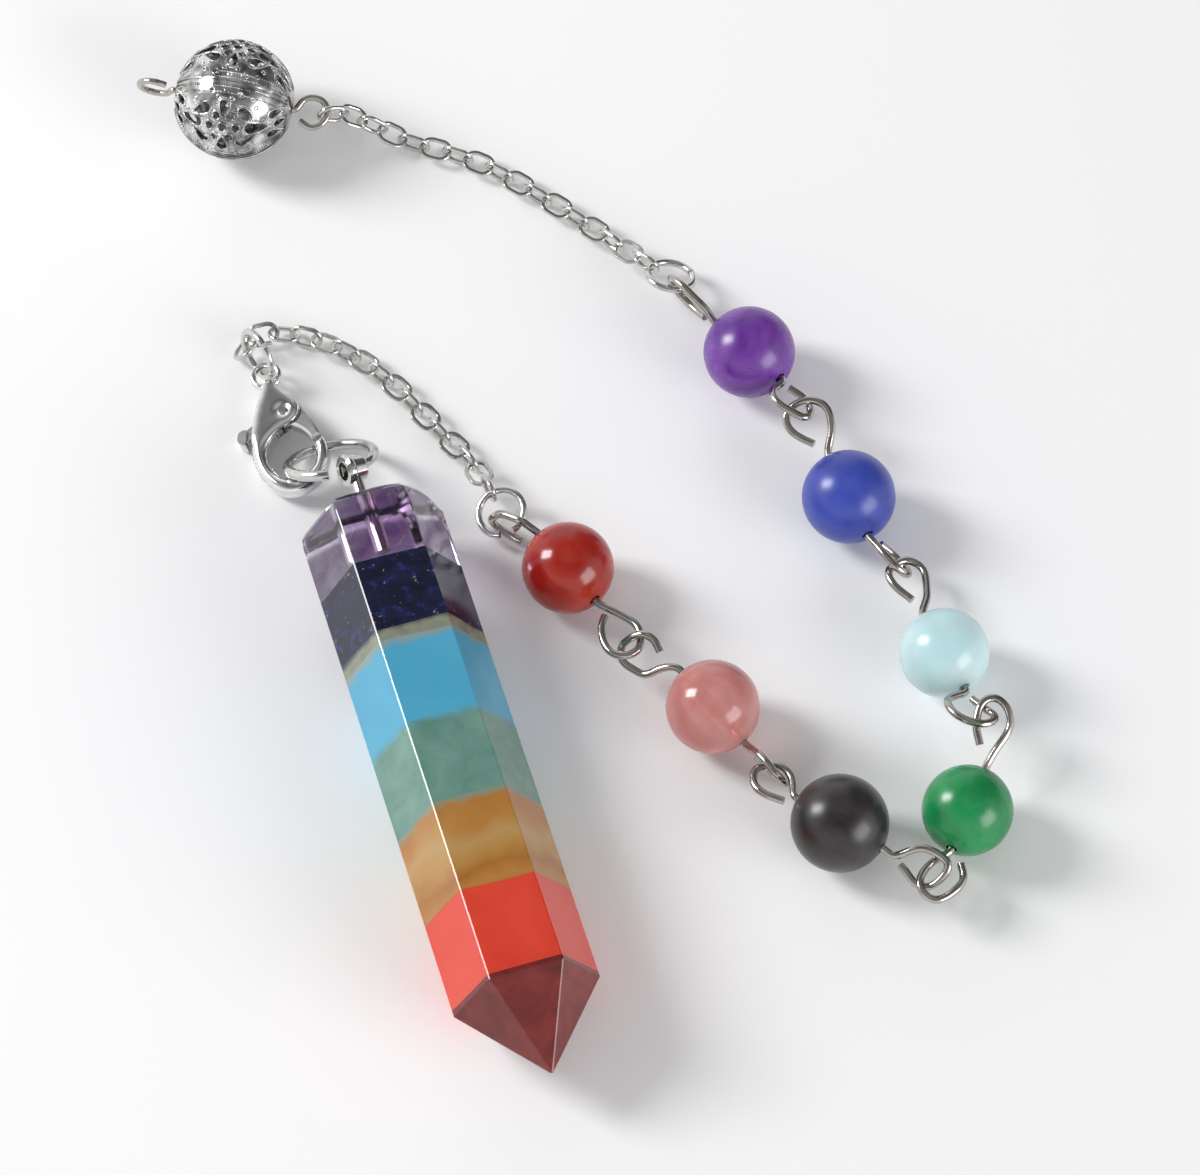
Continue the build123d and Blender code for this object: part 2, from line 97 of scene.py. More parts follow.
def mixNode(tree, factor, first, second, blend="MIX"):
    mix = addNode(tree, "ShaderNodeMix", data_type="RGBA", blend_type=blend)
    for socket, value in ((mix.inputs["Factor"], factor), (mix.inputs[6], first), (mix.inputs[7], second)):
        if isinstance(value, bpy.types.NodeSocket):
            link(tree, value, socket)
        else:
            socket.default_value = value
    return mix.outputs[2]


def paint(nodeName, material):
    mesh = nodes[nodeName].data
    mesh.materials.clear()
    mesh.materials.append(material)


def newGroup(name, inputs, outputs):
    group = bpy.data.node_groups.new(name, "ShaderNodeTree")
    for socketName, kind, value in inputs:
        socket = group.interface.new_socket(socketName, in_out="INPUT", socket_type=kind)
        if value is not None:
            socket.default_value = value
    for socketName, kind in outputs:
        group.interface.new_socket(socketName, in_out="OUTPUT", socket_type=kind)
    return group, group.nodes.new("NodeGroupInput"), group.nodes.new("NodeGroupOutput")


# Handling marks: fine scratches and a faint haze, for every polished surface
def buildHandlingGroup():
    group, start, end = newGroup(
        "handlingMarks",
        [("Vector", "NodeSocketVector", None), ("Base Roughness", "NodeSocketFloat", 0.1),
         ("Haze", "NodeSocketFloat", 0.05), ("Haze Scale", "NodeSocketFloat", 300.0),
         ("Scratch Depth", "NodeSocketFloat", 0.1)],
        [("Roughness", "NodeSocketFloat"), ("Normal", "NodeSocketVector")])
    haze = addNode(group, "ShaderNodeTexNoise", {"Detail": 4.0, "Roughness": 0.6})
    link(group, start.outputs["Vector"], haze.inputs["Vector"])
    link(group, start.outputs["Haze Scale"], haze.inputs["Scale"])
    spread = addNode(group, "ShaderNodeMath", {1: 0.5}, operation="SUBTRACT")
    link(group, haze.outputs["Fac"], spread.inputs[0])
    amount = addNode(group, "ShaderNodeMath", operation="MULTIPLY_ADD")
    link(group, spread.outputs[0], amount.inputs[0])
    link(group, start.outputs["Haze"], amount.inputs[1])
    link(group, start.outputs["Base Roughness"], amount.inputs[2])
    stretched = addNode(group, "ShaderNodeMapping", {"Scale": (1.0, 7.0, 1.0), "Rotation": (0.4, 0.2, 0.7)})
    link(group, start.outputs["Vector"], stretched.inputs["Vector"])
    scratches = addNode(group, "ShaderNodeTexNoise", {"Scale": 900.0, "Detail": 3.0})
    link(group, stretched.outputs["Vector"], scratches.inputs["Vector"])
    bump = addNode(group, "ShaderNodeBump", {"Distance": 0.00002})
    link(group, start.outputs["Scratch Depth"], bump.inputs["Strength"])
    link(group, scratches.outputs["Fac"], bump.inputs["Height"])
    link(group, amount.outputs[0], end.inputs["Roughness"])
    link(group, bump.outputs["Normal"], end.inputs["Normal"])
    return group


# Clouds and veins inside a stone: one mask from two sizes of noise
def buildCloudGroup():
    group, start, end = newGroup(
        "stoneClouds",
        [("Vector", "NodeSocketVector", None), ("Cloud Scale", "NodeSocketFloat", 200.0),
         ("Warp", "NodeSocketFloat", 0.5), ("Grain Scale", "NodeSocketFloat", 2000.0)],
        [("Clouds", "NodeSocketFloat"), ("Grain", "NodeSocketFloat")])
    clouds = addNode(group, "ShaderNodeTexNoise", {"Detail": 5.0, "Roughness": 0.55})
    link(group, start.outputs["Vector"], clouds.inputs["Vector"])
    link(group, start.outputs["Cloud Scale"], clouds.inputs["Scale"])
    link(group, start.outputs["Warp"], clouds.inputs["Distortion"])
    grain = addNode(group, "ShaderNodeTexNoise", {"Detail": 3.0, "Roughness": 0.7})
    link(group, start.outputs["Vector"], grain.inputs["Vector"])
    link(group, start.outputs["Grain Scale"], grain.inputs["Scale"])
    link(group, clouds.outputs["Fac"], end.inputs["Clouds"])
    link(group, grain.outputs["Fac"], end.inputs["Grain"])
    return group


handlingGroup = buildHandlingGroup()
cloudGroup = buildCloudGroup()


def groupNode(tree, group, values=None):
    node = tree.nodes.new("ShaderNodeGroup")
    node.node_tree = group
    for key, value in (values or {}).items():
        node.inputs[key].default_value = value
    return node


def addHandling(tree, shader, vector, roughness, haze=0.05, hazeScale=300.0, scratchDepth=0.1):
    marks = groupNode(tree, handlingGroup, {
        "Base Roughness": roughness, "Haze": haze, "Haze Scale": hazeScale, "Scratch Depth": scratchDepth})
    link(tree, vector, marks.inputs["Vector"])
    link(tree, marks.outputs["Roughness"], shader.inputs["Roughness"])
    link(tree, marks.outputs["Normal"], shader.inputs["Normal"])
    return marks


# Metal finishes: tint, roughness, haze, scratch depth, and how dark the stained parts are
metalFinishes = {
    "claspChrome": {"tint": (0.86, 0.86, 0.85), "roughness": 0.07, "haze": 0.05, "scratch": 0.05, "stain": 0.86},
    "leverChrome": {"tint": (0.74, 0.74, 0.73), "roughness": 0.24, "haze": 0.12, "scratch": 0.15, "stain": 0.86},
    "ringSilver": {"tint": (0.68, 0.67, 0.65), "roughness": 0.12, "haze": 0.08, "scratch": 0.10, "stain": 0.86},
    "wireNickel": {"tint": (0.50, 0.47, 0.43), "roughness": 0.15, "haze": 0.10, "scratch": 0.12, "stain": 0.86},
    "chainSilver": {"tint": (0.66, 0.65, 0.62), "roughness": 0.14, "haze": 0.10, "scratch": 0.12, "stain": 0.86},
    "ballSilver": {"tint": (0.72, 0.71, 0.70), "roughness": 0.16, "haze": 0.12, "scratch": 0.15, "stain": 0.30},
}
metals = {}
for finishName, finish in metalFinishes.items():
    material, tree, shader = newMaterial(finishName)
    place = addNode(tree, "ShaderNodeTexCoord").outputs["Object"]
    tone = addNode(tree, "ShaderNodeTexNoise", {"Scale": 900.0, "Detail": 2.0})
    link(tree, place, tone.inputs["Vector"])
    darker = tuple(finish["stain"] * c for c in finish["tint"])
    ramp = rampNode(tree, [(0.35, darker), (0.65, finish["tint"])])
    link(tree, tone.outputs["Fac"], ramp.inputs["Fac"])
    link(tree, ramp.outputs["Color"], shader.inputs["Base Color"])
    setShader(shader, Metallic=1.0)
    addHandling(tree, shader, place, finish["roughness"], finish["haze"], 400.0, finish["scratch"])
    metals[finishName] = material

metalOf = {
    "clasp_body": "claspChrome", "clasp_pin": "claspChrome", "clasp_lever": "leverChrome",
    "pendant_ring": "ringSilver", "bail": "ringSilver", "clasp_ring": "ringSilver",
    "lower_ring": "ringSilver", "upper_ring": "ringSilver",
    "chain_upper": "chainSilver", "chain_lower": "chainSilver",
    "filigree_ball": "ballSilver", "ball_wire": "wireNickel",
}
for name, finishName in metalOf.items():
    paint(name, metals[finishName])
for name in nodes:
    if name.endswith("_wire") and name != "ball_wire":
        paint(name, metals["wireNickel"])
print("metal finishes done")

# The layout was drawn about another origin: the clasp's pin shows how far it was moved
pinAsDrawn = Vector((-27.59742, 16.26616, 0.0)) * mm
pinPlace = Vector(frame["record"]["behaviour"]["joints"][0]["pos_m"])
layoutShift = Vector((pinPlace.x - pinAsDrawn.x, pinPlace.y - pinAsDrawn.y, 0.0))

# The banded stone: six-sided, lying on a face, from the drilled end to the point
stone = {
    "yaw": 16.96, "end": Vector((-19.985, 4.203, 5.439)) * mm + layoutShift,
    "side": 6.28 * mm, "shoulderSide": 6.37 * mm, "shoulder": 47.7 * mm, "tip": 54.9 * mm,
    "edgeBreak": 0.08 * mm, "stepsPerFace": 10,
}
stoneAcross = Vector((cos(radians(stone["yaw"])), sin(radians(stone["yaw"])), 0.0))
stoneAlong = Vector((sin(radians(stone["yaw"])), -cos(radians(stone["yaw"])), 0.0))


# In stone coordinates x runs across, y along from the drilled end and z up, in millimetres
def stoneCoordinates(tree):
    place = addNode(tree, "ShaderNodeTexCoord").outputs["Object"]
    moved = addNode(tree, "ShaderNodeVectorMath", {1: tuple(stone["end"])}, operation="SUBTRACT")
    link(tree, place, moved.inputs[0])
    turned = addNode(tree, "ShaderNodeMapping", {
        "Rotation": (0, 0, radians(180 - stone["yaw"])), "Scale": (1000, 1000, 1000)})
    link(tree, moved.outputs[0], turned.inputs["Vector"])
    return turned.outputs["Vector"]


# Each joint between two stones waves a little round the stone: place, height and turn of the wave
stoneJoints = {
    "amethyst_cap": (0.0, 0.0, 0.0), "lapis_band": (7.2, 0.10, 2.6), "pale_band": (13.8, 0.10, 1.0), "turquoise_band": (15.1, 0.16, 2.2),
    "aventurine_band": (22.8, 0.12, 0.4), "honey_band": (30.9, 0.10, 3.0),
    "carnelian_band": (39.3, 0.14, 1.7), "jasper_tip": (47.2, 0.08, 0.2),
}


# The drilled end is worn rounder on its right: distance, part of the full side, and rounding of each ring
stoneEnd = ((0.0, 0.80, 0.85), (0.12, 0.875, 0.80), (0.35, 0.935, 0.70), (0.8, 0.985, 0.45), (1.6, 1.0, 0.0))


def stoneRing(distance, wave=0.0, turn=0.0, side=None, rounding=0.0):
    grown = min(distance / stone["shoulder"], 1.0)
    growth = (stone["shoulderSide"] - stone["side"]) * grown
    side = side or stone["side"] + growth
    lift = Vector((0, 0, growth * sin(radians(60))))
    corners = []
    for i in range(6):
        here, before, after = (
            Vector((cos(radians(60 * k)), sin(radians(60 * k)))) * side for k in (i, i - 1, i + 1))
        corners.append(here + (before - here) * stone["edgeBreak"] / side)
        corners.append(here + (after - here) * stone["edgeBreak"] / side)
    ring = []
    for i, corner in enumerate(corners):
        following = corners[(i + 1) % 12]
        steps = stone["stepsPerFace"] if i % 2 else 1
        for k in range(steps):
            flat = corner.lerp(following, k / steps)
            angle = atan2(flat.y, flat.x)
            wear = rounding * min(max((flat.x / side + 0.45) / 1.1, 0.12), 1.0)
            flat = flat.lerp(flat.normalized() * side * 0.90, wear)
            ripple = wave * mm * (sin(angle + turn) + 0.4 * sin(3 * angle + 2 * turn))
            ring.append(stone["end"] + lift + stoneAcross * flat.x + Vector((0, 0, flat.y))
                        + stoneAlong * (distance + ripple))
    return ring


def meshFromRings(name, rings):
    count = len(rings[0])
    points = [point for ring in rings for point in ring]
    faces = [list(range(count)), list(range(len(points) - count, len(points)))[::-1]]
    for low in range(0, len(points) - count, count):
        for k in range(count):
            after = (k + 1) % count
            faces.append([low + k, low + count + k, low + count + after, low + after])
    mesh = bpy.data.meshes.new(name)
    mesh.from_pydata(points, [], faces)
    work = bmesh.new()
    work.from_mesh(mesh)
    bmesh.ops.recalc_face_normals(work, faces=work.faces)
    work.to_mesh(mesh)
    work.free()
    return mesh


def addPiece(name, mesh, *materials):
    for material in materials:
        mesh.materials.append(material)
    piece = bpy.data.objects.new(name, mesh)
    bpy.context.scene.collection.objects.link(piece)
    return piece


# Colours of the stones: two tones of cloud, and how much of the surface shows depth
stoneLooks = {
    "lapis_band": {"dark": (0.004, 0.005, 0.014), "light": (0.010, 0.013, 0.045), "cloud": 0.7,
                   "under": 0.0, "slot": "lapis"},
    "pale_band": {"dark": (0.15, 0.17, 0.13), "light": (0.27, 0.28, 0.21), "cloud": 0.5,
                  "under": 0.2, "slot": "pale_stone"},
    "turquoise_band": {"dark": (0.062, 0.32, 0.49), "light": (0.082, 0.36, 0.53), "cloud": 0.15,
                       "under": 0.1, "slot": "turquoise"},
    "aventurine_band": {"dark": (0.095, 0.215, 0.175), "light": (0.155, 0.29, 0.24), "cloud": 0.35,
                        "under": 0.15, "slot": "aventurine"},
    "honey_band": {"dark": (0.33, 0.13, 0.02), "light": (0.46, 0.23, 0.06), "cloud": 0.3,
                   "under": 0.25, "slot": "honey_stone"},
    "carnelian_band": {"dark": (0.58, 0.036, 0.018), "light": (0.68, 0.060, 0.030), "cloud": 0.12,
                       "under": 0.2, "slot": "carnelian"},
    "jasper_tip": {"dark": (0.115, 0.011, 0.010), "light": (0.205, 0.024, 0.020), "cloud": 0.45,
                   "under": 0.0, "slot": "jasper"},
}


# Dark blue spots, clustered gold flecks and a rusty patch toward the right of the lapis
def addLapisDetail(tree, place, tone):
    spots = addNode(tree, "ShaderNodeTexNoise", {"Scale": 1.1, "Detail": 3.0})
    link(tree, place, spots.inputs["Vector"])
    spotMask = rampNode(tree, [(0.56, (0, 0, 0)), (0.68, (0.8, 0.8, 0.8))])
    link(tree, spots.outputs["Fac"], spotMask.inputs["Fac"])
    tone = mixNode(tree, spotMask.outputs["Color"], tone, colour(0.016, 0.026, 0.14))
    split = addNode(tree, "ShaderNodeSeparateXYZ")
    link(tree, place, split.inputs["Vector"])
    rust = addNode(tree, "ShaderNodeTexNoise", {"Scale": 0.5, "Detail": 2.0})
    link(tree, place, rust.inputs["Vector"])
    rustWeight = addNode(tree, "ShaderNodeMath", {1: 0.16}, operation="MULTIPLY")
    link(tree, split.outputs["X"], rustWeight.inputs[0])
    rustSum = addNode(tree, "ShaderNodeMath", operation="ADD")
    link(tree, rust.outputs["Fac"], rustSum.inputs[0])
    link(tree, rustWeight.outputs[0], rustSum.inputs[1])
    rustMask = rampNode(tree, [(1.0, (0, 0, 0)), (1.25, (0.7, 0.7, 0.7))])
    link(tree, rustSum.outputs[0], rustMask.inputs["Fac"])
    tone = mixNode(tree, rustMask.outputs["Color"], tone, colour(0.075, 0.022, 0.014))
    bent = addNode(tree, "ShaderNodeTexNoise", {"Scale": 2.2, "Detail": 2.0})
    link(tree, place, bent.inputs["Vector"])
    bentPlace = addNode(tree, "ShaderNodeVectorMath", {2: (0.75, 0.75, 0.75)}, operation="MULTIPLY_ADD")
    link(tree, bent.outputs["Color"], bentPlace.inputs[0])
    bentPlace.inputs[1].default_value = (0.75, 0.75, 0.75)
    link(tree, place, bentPlace.inputs[2])
    flecks = addNode(tree, "ShaderNodeTexVoronoi", {"Scale": 1.9, "Randomness": 1.0})
    link(tree, bentPlace.outputs[0], flecks.inputs["Vector"])
    clusters = addNode(tree, "ShaderNodeTexNoise", {"Scale": 0.55, "Detail": 3.0, "Roughness": 0.7})
    link(tree, place, clusters.inputs["Vector"])
    fleckSize = addNode(tree, "ShaderNodeMapRange", {1: 0.46, 2: 0.66, 3: 0.0, 4: 0.30})
    link(tree, clusters.outputs["Fac"], fleckSize.inputs["Value"])
    inside = addNode(tree, "ShaderNodeMath", operation="LESS_THAN")
    link(tree, flecks.outputs["Distance"], inside.inputs[0])
    link(tree, fleckSize.outputs["Result"], inside.inputs[1])
    return mixNode(tree, inside.outputs[0], tone, colour(0.20, 0.155, 0.055))


# Broad soft layers of amber and tan along the honey stone
def addHoneyLayers(tree, place, tone):
    bend = addNode(tree, "ShaderNodeTexNoise", {"Scale": 0.16, "Detail": 3.0})
    link(tree, place, bend.inputs["Vector"])
    split = addNode(tree, "ShaderNodeSeparateXYZ")
    link(tree, place, split.inputs["Vector"])
    bent = addNode(tree, "ShaderNodeMath", {1: 7.0}, operation="MULTIPLY_ADD")
    link(tree, bend.outputs["Fac"], bent.inputs[0])
    link(tree, split.outputs["Y"], bent.inputs[2])
    along = addNode(tree, "ShaderNodeMapRange", {1: 34.4, 2: 42.8})
    link(tree, bent.outputs[0], along.inputs["Value"])
    layers = rampNode(tree, [(0.0, (0.36, 0.14, 0.022)), (0.25, (0.41, 0.19, 0.042)), (0.45, (0.44, 0.28, 0.105)),
                             (0.62, (0.42, 0.23, 0.06)), (0.8, (0.33, 0.12, 0.018)), (1.0, (0.42, 0.19, 0.04))])
    link(tree, along.outputs["Result"], layers.inputs["Fac"])
    return mixNode(tree, 0.8, tone, layers.outputs["Color"])


# Some joints are blurred: the stone before shows through for a short way
softStarts = {
    "pale_band": ("lapis_band", 0.5), "turquoise_band": ("pale_band", 0.9),
    "aventurine_band": ("turquoise_band", 1.0), "honey_band": ("aventurine_band", 0.8),
}


def softenStart(tree, place, name, tone):
    before, width = softStarts[name]
    start = stoneJoints[name][0]
    split = addNode(tree, "ShaderNodeSeparateXYZ")
    link(tree, place, split.inputs["Vector"])
    uneven = addNode(tree, "ShaderNodeTexNoise", {"Scale": 0.7, "Detail": 3.0})
    link(tree, place, uneven.inputs["Vector"])
    bent = addNode(tree, "ShaderNodeMath", {1: -1.4 * width}, operation="MULTIPLY_ADD")
    link(tree, uneven.outputs["Fac"], bent.inputs[0])
    link(tree, split.outputs["Y"], bent.inputs[2])
    fade = addNode(tree, "ShaderNodeMapRange", {1: start - 0.8 * width, 2: start + 0.3 * width, 3: 0.75, 4: 0.0},
                   interpolation_type="SMOOTHSTEP")
    link(tree, bent.outputs[0], fade.inputs["Value"])
    return mixNode(tree, fade.outputs["Result"], tone, colour(*stoneLooks[before]["light"]))


joints = list(stoneJoints.items())
for (name, start), following in zip(joints, joints[1:] + [None]):
    if name == "amethyst_cap":
        continue
    look = stoneLooks[name]
    material, tree, shader = newMaterial(name + "_stone")
    place = stoneCoordinates(tree)
    clouds = groupNode(tree, cloudGroup, {"Cloud Scale": look["cloud"], "Warp": 0.6, "Grain Scale": 6.0})
    link(tree, place, clouds.inputs["Vector"])
    ramp = rampNode(tree, [(0.3, look["dark"]), (0.7, look["light"])])
    link(tree, clouds.outputs["Clouds"], ramp.inputs["Fac"])
    tone = ramp.outputs["Color"]
    if name == "lapis_band":
        tone = addLapisDetail(tree, place, tone)
    if name == "honey_band":
        tone = addHoneyLayers(tree, place, tone)
    if name in softStarts:
        tone = softenStart(tree, place, name, tone)
    link(tree, tone, shader.inputs["Base Color"])
    setShader(shader, IOR=1.54, Subsurface_Weight=look["under"], Subsurface_Scale=0.0008)
    addHandling(tree, shader, place, 0.11, 0.06, 0.4, 0.03)
    rings = [stoneRing(start[0] * mm, *start[1:])]
    if following:
        rings.append(stoneRing(following[1][0] * mm, *following[1][1:]))
    else:
        rings.append(stoneRing(stone["shoulder"]))
        rings.append(stoneRing(stone["tip"], side=0.16 * mm))
    piece = addPiece("stone_" + name, meshFromRings("stone_" + name, rings), material)
    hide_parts(name)
    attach(piece, "root")

# The clear quartz: pale at the left, violet toward the middle, with a few whitish veils
material, tree, shader = newMaterial("amethyst_quartz")
place = stoneCoordinates(tree)
clouds = groupNode(tree, cloudGroup, {"Cloud Scale": 0.30, "Warp": 1.2, "Grain Scale": 3.0})
link(tree, place, clouds.inputs["Vector"])
core = addNode(tree, "ShaderNodeTexGradient", gradient_type="SPHERICAL")
corePlace = addNode(tree, "ShaderNodeMapping", {"Location": (0.05, -0.75, -0.95), "Scale": (0.22, 0.19, 0.19)})
link(tree, place, corePlace.inputs["Vector"])
link(tree, corePlace.outputs["Vector"], core.inputs["Vector"])
depth = addNode(tree, "ShaderNodeMath", {1: 0.55}, operation="MULTIPLY_ADD")
link(tree, core.outputs["Fac"], depth.inputs[0])
link(tree, clouds.outputs["Clouds"], depth.inputs[2])
violet = rampNode(tree, [(0.36, (0.90, 0.88, 0.94)), (0.50, (0.74, 0.67, 0.82)), (0.66, (0.52, 0.36, 0.64)),
                         (0.90, (0.50, 0.22, 0.58))])
link(tree, depth.outputs[0], violet.inputs["Fac"])
veils = addNode(tree, "ShaderNodeTexVoronoi", {"Scale": 0.5}, feature="DISTANCE_TO_EDGE")
link(tree, place, veils.inputs["Vector"])
veilMask = rampNode(tree, [(0.0, (0.8, 0.8, 0.8)), (0.05, (0.0, 0.0, 0.0))])
link(tree, veils.outputs["Distance"], veilMask.inputs["Fac"])
veilPatch = rampNode(tree, [(0.54, (0, 0, 0)), (0.66, (1, 1, 1))])
link(tree, clouds.outputs["Clouds"], veilPatch.inputs["Fac"])
veilPart = mixNode(tree, 1.0, veilMask.outputs["Color"], veilPatch.outputs["Color"], "MULTIPLY")
tone = mixNode(tree, veilPart, violet.outputs["Color"], colour(0.97, 0.96, 1.0))
link(tree, tone, shader.inputs["Base Color"])
setShader(shader, IOR=1.54, Transmission_Weight=1.0)
addHandling(tree, shader, place, 0.05, 0.10, 0.4, 0.05)
lapisStart = stoneJoints["lapis_band"]
rings = [stoneRing(distance * mm, side=stone["side"] * part, rounding=rounding)
         for distance, part, rounding in stoneEnd]
rings.append(stoneRing((lapisStart[0] - 0.004) * mm, *lapisStart[1:]))
piece = addPiece("stone_amethyst_cap", meshFromRings("stone_amethyst_cap", rings), material)
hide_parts("amethyst_cap")
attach(piece, "root")
print("stone bands done")

# The clasp's claw is cast with a full round face: its flat sides are domed toward their middle
clasp = {"origin": Vector((-26.94, 12.37, 1.642)) * mm + layoutShift, "yaw": 11.0, "tilt": 11.4,
         "voxel": 0.07 * mm, "outlineBand": (0.66 * mm, 0.82 * mm), "clawEdge": 0.42 * mm, "cheekEdge": 0.74 * mm,
         "cheekStart": 1.0 * mm, "cheekFull": 2.3 * mm, "middle": 0.98 * mm, "roundOver": 0.80 * mm,
         "eyeStart": 7.2 * mm}
claspFrame = (Matrix.Translation(clasp["origin"]) @ Matrix.Rotation(radians(clasp["yaw"]), 4, "Z")
              @ Matrix.Rotation(-radians(clasp["tilt"]), 4, "Y"))


def domedClaw():
    claw = addPiece("clasp_claw", nodes["clasp_body"].data.copy())
    claw.data.transform(claspFrame.inverted())
    remesh = claw.modifiers.new("even", "REMESH")
    remesh.mode = "VOXEL"
    remesh.voxel_size = clasp["voxel"]
    depsgraph = bpy.context.evaluated_depsgraph_get()
    mesh = bpy.data.meshes.new_from_object(claw.evaluated_get(depsgraph))
    claw.modifiers.clear()
    low, high = clasp["outlineBand"]
    outline = [v.co for v in mesh.vertices if low < abs(v.co.z) < high and abs(v.normal.z) < 0.5]
    tree = kdtree.KDTree(len(outline))
    for index, place in enumerate(outline):
        tree.insert((place.x, place.y, 0.0), index)
    tree.balance()
    for v in mesh.vertices:
        if v.co.y > clasp["eyeStart"] or abs(v.co.z) < clasp["clawEdge"]:
            continue
        cheek = (v.co.y - clasp["cheekStart"]) / (clasp["cheekFull"] - clasp["cheekStart"])
        cheek = min(max(cheek, 0.0), 1.0)
        edge = clasp["clawEdge"] + (clasp["cheekEdge"] - clasp["clawEdge"]) * cheek
        inward = min(tree.find((v.co.x, v.co.y, 0.0))[2] / clasp["roundOver"], 1.0)
        limit = edge + (clasp["middle"] - edge) * sqrt(1 - (1 - inward) ** 2)
        v.co.z = max(min(v.co.z, limit), -limit)
    mesh.shade_smooth()
    claw.data = mesh
    smooth = claw.modifiers.new("smooth", "SMOOTH")
    smooth.iterations = 6
    smooth.factor = 0.5
    depsgraph = bpy.context.evaluated_depsgraph_get()
    mesh = bpy.data.meshes.new_from_object(claw.evaluated_get(depsgraph))
    claw.modifiers.clear()
    mesh.transform(claspFrame)
    mesh.materials.clear()
    mesh.materials.append(metals["claspChrome"])
    claw.data = mesh
    return claw


claw = domedClaw()
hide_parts("clasp_body")
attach(claw, "root")
print("clasp done")

# Beads: tints in two depths, and how much light passes through each
beadLooks = {
    "purple": {"dark": (0.075, 0.010, 0.20), "light": (0.20, 0.055, 0.38), "cloud": 260.0,
               "through": 0.0, "under": 0.35, "roughness": 0.27},
    "blue": {"dark": (0.022, 0.038, 0.28), "light": (0.045, 0.075, 0.42), "cloud": 200.0,
             "through": 0.0, "under": 0.30, "roughness": 0.30},
    "aqua": {"dark": (0.62, 0.91, 0.98), "light": (0.78, 0.96, 0.99), "cloud": 180.0,
             "through": 0.35, "under": 0.60, "roughness": 0.24},
    "green": {"dark": (0.004, 0.17, 0.045), "light": (0.012, 0.30, 0.09), "cloud": 220.0,
              "through": 0.0, "under": 0.35, "roughness": 0.25},
    "black": {"dark": (0.012, 0.010, 0.011), "light": (0.035, 0.030, 0.031), "cloud": 320.0,
              "through": 0.0, "under": 0.0, "roughness": 0.30},
    "pink": {"dark": (0.78, 0.30, 0.27), "light": (0.90, 0.48, 0.44), "cloud": 240.0,
             "through": 0.55, "under": 0.30, "roughness": 0.16},
    "red": {"dark": (0.30, 0.010, 0.006), "light": (0.50, 0.030, 0.012), "cloud": 200.0,
            "through": 0.15, "under": 0.45, "roughness": 0.18},
}
for beadName, look in beadLooks.items():
    material, tree, shader = newMaterial(beadName + "_bead_stone")
    place = addNode(tree, "ShaderNodeTexCoord").outputs["Object"]
    clouds = groupNode(tree, cloudGroup, {"Cloud Scale": look["cloud"], "Warp": 0.8, "Grain Scale": 2500.0})
    link(tree, place, clouds.inputs["Vector"])
    ramp = rampNode(tree, [(0.32, look["dark"]), (0.68, look["light"])])
    link(tree, clouds.outputs["Clouds"], ramp.inputs["Fac"])
    link(tree, ramp.outputs["Color"], shader.inputs["Base Color"])
    setShader(shader, IOR=1.52, Transmission_Weight=look["through"], Subsurface_Weight=look["under"],
              Subsurface_Scale=0.0012, Subsurface_Radius=(1.0, 0.6, 0.6))
    addHandling(tree, shader, place, look["roughness"], 0.08, 500.0, 0.03)
    paint(beadName + "_bead", material)
print("beads done")

# Trees that grow wire rims or rows of grains along drawn lines
def newGrowTree(name, sizes):
    tree = bpy.data.node_groups.new(name, "GeometryNodeTree")
    tree.interface.new_socket("Geometry", in_out="INPUT", socket_type="NodeSocketGeometry")
    for socketName, value in sizes.items():
        socket = tree.interface.new_socket(socketName, in_out="INPUT", socket_type="NodeSocketFloat")
        socket.default_value = value
    tree.interface.new_socket("Geometry", in_out="OUTPUT", socket_type="NodeSocketGeometry")
    start, end = tree.nodes.new("NodeGroupInput"), tree.nodes.new("NodeGroupOutput")
    lines = addNode(tree, "GeometryNodeMeshToCurve")
    link(tree, start.outputs["Geometry"], lines.inputs["Mesh"])
    return tree, start, end, lines


def endGrowTree(tree, grown, end, material):
    plain = addNode(tree, "GeometryNodeRealizeInstances")
    smooth = addNode(tree, "GeometryNodeSetShadeSmooth")
    painted = addNode(tree, "GeometryNodeSetMaterial", {"Material": material})
    link(tree, grown, smooth.inputs["Geometry"])
    link(tree, smooth.outputs["Geometry"], plain.inputs["Geometry"])
    link(tree, plain.outputs["Geometry"], painted.inputs["Geometry"])
    link(tree, painted.outputs["Geometry"], end.inputs["Geometry"])


rimTree, start, end, lines = newGrowTree("rimTree", {"Wire Radius": 0.07 * mm})
profile = addNode(rimTree, "GeometryNodeCurvePrimitiveCircle", {"Resolution": 8})
tube = addNode(rimTree, "GeometryNodeCurveToMesh")
link(rimTree, start.outputs["Wire Radius"], profile.inputs["Radius"])
link(rimTree, lines.outputs["Curve"], tube.inputs["Curve"])
link(rimTree, profile.outputs["Curve"], tube.inputs["Profile Curve"])
endGrowTree(rimTree, tube.outputs["Mesh"], end, metals["ballSilver"])

grainTree, start, end, lines = newGrowTree("grainTree", {"Grain Radius": 0.08 * mm, "Pitch": 0.2 * mm})
places = addNode(grainTree, "GeometryNodeCurveToPoints", mode="LENGTH")
grain = addNode(grainTree, "GeometryNodeMeshUVSphere", {"Segments": 8, "Rings": 5})
spread = addNode(grainTree, "GeometryNodeInstanceOnPoints")
link(grainTree, lines.outputs["Curve"], places.inputs["Curve"])
link(grainTree, start.outputs["Pitch"], places.inputs["Length"])
link(grainTree, start.outputs["Grain Radius"], grain.inputs["Radius"])
link(grainTree, places.outputs["Points"], spread.inputs["Points"])
link(grainTree, grain.outputs["Mesh"], spread.inputs["Instance"])
endGrowTree(grainTree, spread.outputs["Instances"], end, metals["ballSilver"])


